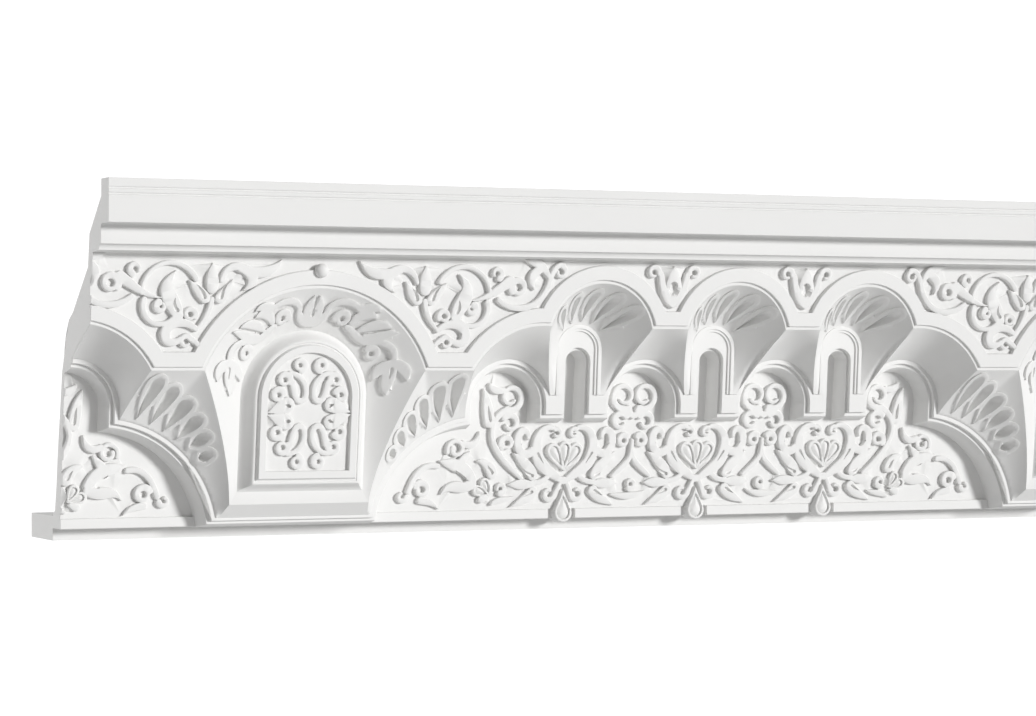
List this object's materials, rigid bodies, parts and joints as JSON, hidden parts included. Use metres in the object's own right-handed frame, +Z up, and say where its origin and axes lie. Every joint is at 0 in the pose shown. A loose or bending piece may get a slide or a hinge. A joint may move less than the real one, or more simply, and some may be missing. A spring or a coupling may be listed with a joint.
{
  "type": "cornice moulding length",
  "caption": "Length of cast plaster cornice with crown mouldings, scalloped carved frieze, fluted stalactite cells, arched niche and wall flange.",
  "frame": {"origin": "middle of the back face of the wall flange, where the cornice is fixed to the wall", "axes": "+X along the run to the right seen from the room, +Y into the wall, +Z up to the ceiling"},
  "size_m": [1.173, 0.2675, 0.3499],
  "materials": {
    "plaster": "matte white gypsum plaster, smooth cast faces"
  },
  "bodies": {
    "root": {"cornice_length": "plaster"}
  },
  "joints": []
}
